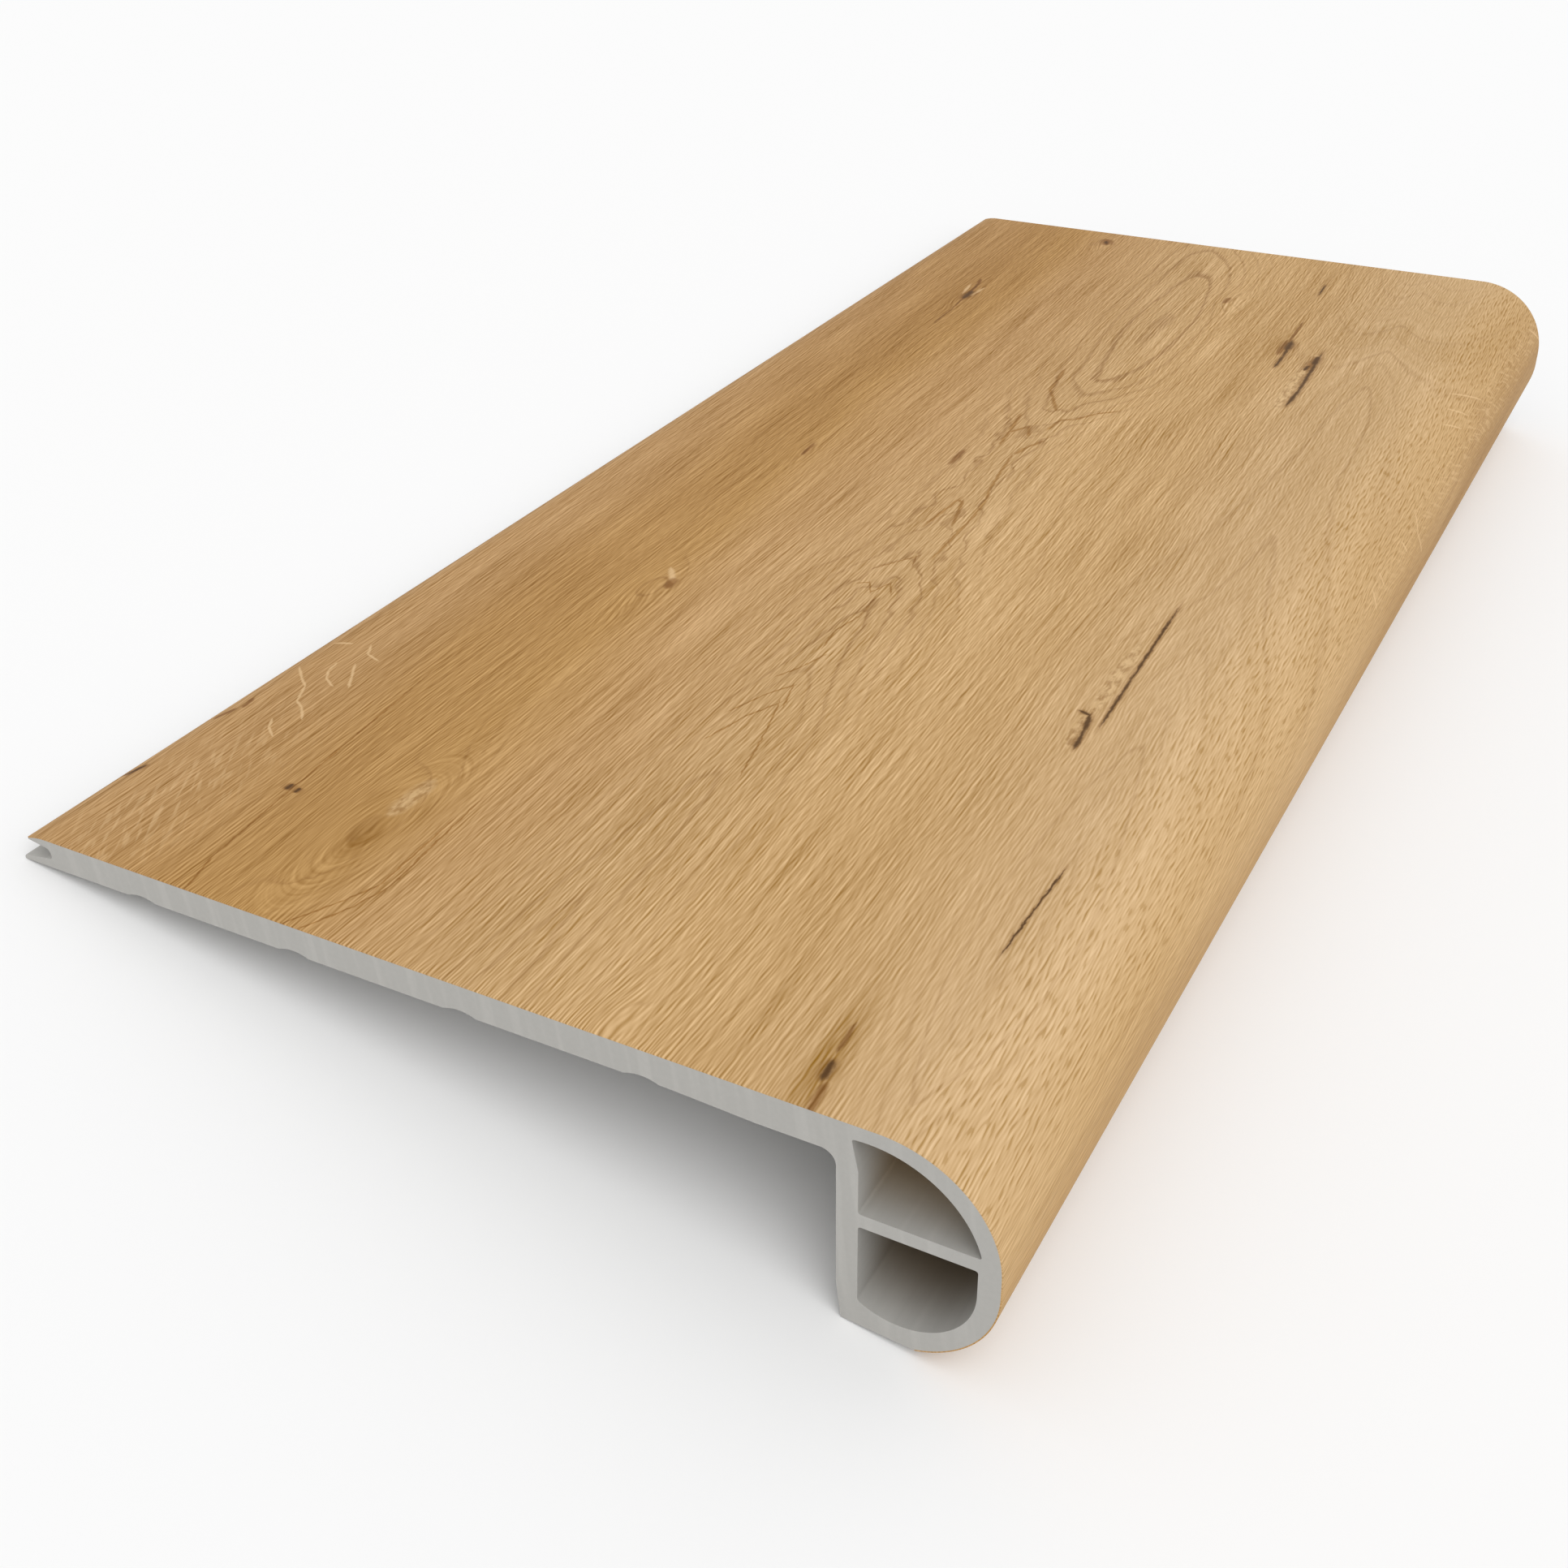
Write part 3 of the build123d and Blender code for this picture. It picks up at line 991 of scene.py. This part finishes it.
smear = fade(tree, smears, 1.5, 0.1, 0.0, 0.85)
split = fade(tree, cracks, 1.2, 0.15, 0.0, 0.92)
colour = lay(tree, calc(tree, "MAXIMUM", stain, smear), colour, tone(178, 150, 108), "MULTIPLY")
colour = lay(tree, split, colour, tone(84, 58, 32))

# %% [markdown]
# A clear wear layer lies over the print. It is matt, so the finish gets only a faint sheen.

# %% Oak finish
oak_shader = tree.nodes["Principled BSDF"]
wire(tree, colour, oak_shader.inputs["Base Color"])
oak_shader.inputs["Roughness"].default_value = 0.55
oak_shader.inputs["Specular IOR Level"].default_value = 0.12
oak_face.data.materials.append(oak)
print("oak finish has", len(tree.nodes), "nodes")

# %% [markdown]
# The vinyl is coloured all through, a plain middle grey. The saw leaves faint light streaks across
# the cut ends, a few millimetres apart. Inside the chambers the colour turns to a warmer and darker
# grey away from the cut ends. That is painted shade for the hollow nose, and the lower chamber
# gets the darker painted shade of the two.

# %% Vinyl finish
vinyl = bpy.data.materials.new("vinyl_finish")
vinyl.use_nodes = True
tree = vinyl.node_tree
object_map = tree.nodes.new("ShaderNodeTexCoord")
world_place = tree.nodes.new("ShaderNodeSeparateXYZ")
tree.links.new(object_map.outputs["Object"], world_place.inputs[0])
along_x = calc(tree, "ABSOLUTE", calc(tree, "MULTIPLY", world_place.outputs[0], 1000.0))
from_rear = calc(tree, "MULTIPLY_ADD", world_place.outputs[1], -1000.0, rear_y)
from_floor = calc(tree, "MULTIPLY_ADD", world_place.outputs[2], 1000.0, -rear_z)
section_s = calc(
    tree, "MULTIPLY_ADD", from_rear, cos(tilt), calc(tree, "MULTIPLY", from_floor, sin(tilt))
)
section_h = calc(
    tree, "MULTIPLY_ADD", from_floor, cos(tilt), calc(tree, "MULTIPLY", from_rear, -sin(tilt))
)
sawn_s = calc(tree, "MULTIPLY_ADD", section_h, 0.12, section_s)
saw = noise(tree, calc(tree, "DIVIDE", sawn_s, 4.0), calc(tree, "DIVIDE", section_h, 60.0), 2.0, 0.6)
mottle = noise(tree, calc(tree, "DIVIDE", section_s, 1.2), calc(tree, "DIVIDE", section_h, 1.2), 1.0)
grey = total(
    tree,
    fade(tree, saw["Fac"], 0.45, 0.7, 0.985, 1.05),
    calc(tree, "MULTIPLY_ADD", mottle["Fac"], 0.06, -0.03),
)
cut_grey = vector_calc(tree, "MULTIPLY", tone(175, 173, 168)[:3], grey)
# Painted shade: inside the chambers the grey turns darker and warmer away from the cut ends, most in the
# lower chamber.
past_leg = fade(tree, section_s, 219.5, 220.5)
over_sole = fade(tree, section_h, -52.5, -51.5)
in_nose = calc(tree, "MULTIPLY", past_leg, over_sole)
away_from_cut = fade(tree, along_x, length / 2 - 0.05, length / 2 - 22.0, 0.0, 0.95)
chamber_shade_mask = calc(tree, "MULTIPLY", in_nose, away_from_cut)
chamber_shade_tone = lay(tree, fade(tree, section_h, -23.0, -27.0), tone(190, 168, 135), tone(135, 120, 100))
vinyl_colour = lay(tree, chamber_shade_mask, cut_grey, chamber_shade_tone)
vinyl_shader = tree.nodes["Principled BSDF"]
wire(tree, vinyl_colour, vinyl_shader.inputs["Base Color"])
vinyl_shader.inputs["Roughness"].default_value = 0.5
vinyl_shader.inputs["Specular IOR Level"].default_value = 0.2
vinyl_profile.data.materials.append(vinyl)
print("vinyl finish has", len(tree.nodes), "nodes")
